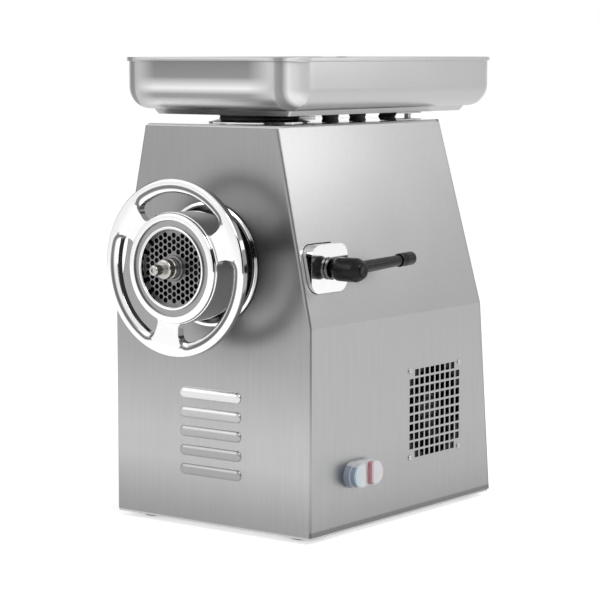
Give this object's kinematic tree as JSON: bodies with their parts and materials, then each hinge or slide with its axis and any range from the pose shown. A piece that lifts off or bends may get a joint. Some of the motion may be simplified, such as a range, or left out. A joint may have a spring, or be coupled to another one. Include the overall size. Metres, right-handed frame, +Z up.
{
  "type": "electric meat grinder",
  "caption": "Electric meat grinder: tapered brushed steel cabinet, slotted ring nut over a perforated cutting plate, loading tray on top, barrel clamp lever and booted twin push button.",
  "frame": {"origin": "centre of the bounding box footprint, at the level of the feet soles", "axes": "+Z up; -Y towards the front, where the ring nut is; +X towards the right side seen from the front, where the clamp lever is"},
  "size_m": [0.3376, 0.5134, 0.5527],
  "materials": {
    "casing_steel": "satin brushed sheet",
    "polished_steel": "mirror polished",
    "tray_steel": "bright drawn sheet",
    "plain_steel": "machined",
    "cast_metal": "as cast",
    "motor_paint": "dark grey enamel",
    "winding_core": "varnished",
    "bronze": "machined",
    "black_plastic": "moulded, slightly glossy",
    "grey_plastic": "moulded",
    "black_rubber": "moulded",
    "clear_silicone": "clear, glossy",
    "blue_plastic": "moulded",
    "red_plastic": "moulded"
  },
  "bodies": {
    "machine": {"casing": "casing_steel", "rear_cover": "casing_steel", "rear_cover_screw_1": "plain_steel", "rear_cover_screw_2": "plain_steel", "cable_gland": "black_plastic", "base_plate": "casing_steel", "foot_1": "black_rubber", "foot_2": "black_rubber", "foot_3": "black_rubber", "foot_4": "black_rubber", "vent_rivet_1": "plain_steel", "vent_rivet_2": "plain_steel", "vent_rivet_3": "plain_steel", "vent_rivet_4": "plain_steel", "fan_frame": "black_plastic", "front_trim_ring": "polished_steel", "head_housing": "cast_metal", "clamp_block": "polished_steel", "button_housing": "black_plastic", "button_boot": "clear_silicone", "feed_duct": "polished_steel", "throat_seal": "black_rubber", "tray_buffer_1": "black_rubber", "tray_buffer_2": "black_rubber", "tray_buffer_3": "black_rubber", "tray_buffer_4": "black_rubber", "tray_bracket_left": "plain_steel", "tray_bracket_right": "plain_steel", "gearbox_body": "cast_metal", "gearbox_cover": "cast_metal", "output_oil_seal": "black_rubber", "output_bearing_front": "plain_steel", "output_bearing_rear": "plain_steel", "intermediate_axle": "plain_steel", "gearbox_pedestal": "cast_metal", "motor_shell": "motor_paint", "stator": "winding_core", "motor_bearing_front": "plain_steel", "motor_bearing_rear": "plain_steel", "control_box": "grey_plastic"},
    "output": {"output_shaft": "plain_steel", "output_gear": "plain_steel"},
    "intermediate": {"intermediate_gear": "plain_steel"},
    "motor": {"motor_rotor": "plain_steel"},
    "fan": {"fan_rotor": "black_plastic"},
    "barrel": {"barrel": "polished_steel", "auger_bush": "bronze"},
    "auger": {"auger": "polished_steel", "auger_stud": "plain_steel", "knife": "plain_steel"},
    "plate": {"cutting_plate": "plain_steel"},
    "nut": {"ring_nut": "polished_steel"},
    "pad": {"clamp_pad": "bronze"},
    "lever": {"clamp_screw": "polished_steel", "clamp_lever": "black_plastic", "lever_hub_plug": "grey_plastic", "lever_end_cap": "black_plastic"},
    "tray": {"tray": "tray_steel"},
    "start": {"start_button": "blue_plastic"},
    "stop": {"stop_button": "red_plastic"}
  },
  "joints": [
    {"name": "output_turn", "type": "hinge", "parent": "machine", "child": "output", "pos_m": [-0.02182, 0.04336, 0.3142], "axis": [0, 1, 0], "continuous": true},
    {"name": "intermediate_turn", "type": "hinge", "parent": "machine", "child": "intermediate", "pos_m": [-0.02182, 0.04336, 0.2042], "axis": [0, 1, 0], "continuous": true},
    {"name": "motor_turn", "type": "hinge", "parent": "machine", "child": "motor", "pos_m": [-0.02182, -0.05664, 0.1267], "axis": [0, 1, 0], "continuous": true},
    {"name": "fan_turn", "type": "hinge", "parent": "machine", "child": "fan", "pos_m": [0.10818, 0.09366, 0.1264], "axis": [1, 0, 0], "continuous": true},
    {"name": "barrel_slide", "type": "slide", "parent": "machine", "child": "barrel", "axis": [0, -1, 0], "range_m": [0, 0.22]},
    {"name": "auger_turn", "type": "hinge", "parent": "barrel", "child": "auger", "pos_m": [-0.02182, -0.10664, 0.3142], "axis": [0, 1, 0], "continuous": true},
    {"name": "plate_slide", "type": "slide", "parent": "barrel", "child": "plate", "axis": [0, -1, 0], "range_m": [0, 0.0351]},
    {"name": "ring_nut_turn", "type": "hinge", "parent": "plate", "child": "nut", "pos_m": [-0.02182, -0.21664, 0.3142], "axis": [0, -1, 0], "range_deg": [0, 2520]},
    {"name": "clamp_pad_slide", "type": "slide", "parent": "machine", "child": "pad", "axis": [1, 0, 0], "range_m": [0, 0.00301]},
    {"name": "clamp_lever_turn", "type": "hinge", "parent": "pad", "child": "lever", "pos_m": [0.12818, -0.11414, 0.3142], "axis": [1, 0, 0], "range_deg": [0, 540]},
    {"name": "tray_lift", "type": "slide", "parent": "machine", "child": "tray", "axis": [0, 0, 1], "range_m": [0, 0.12]},
    {"name": "start_press", "type": "slide", "parent": "machine", "child": "start", "axis": [-1, 0, 0], "range_m": [0, 0.0026], "stiffness_N_per_m": 800},
    {"name": "stop_press", "type": "slide", "parent": "machine", "child": "stop", "axis": [-1, 0, 0], "range_m": [0, 0.0026], "stiffness_N_per_m": 800}
  ],
  "couplings": [
    {"joint": "intermediate_turn", "follows": "output_turn", "ratio": -2.6667},
    {"joint": "motor_turn", "follows": "output_turn", "ratio": 8.3556},
    {"joint": "auger_turn", "follows": "output_turn", "ratio": 1},
    {"joint": "plate_slide", "follows": "ring_nut_turn", "m_per_rad": 0.00079577},
    {"joint": "clamp_pad_slide", "follows": "clamp_lever_turn", "m_per_rad": 0.00031831}
  ]
}
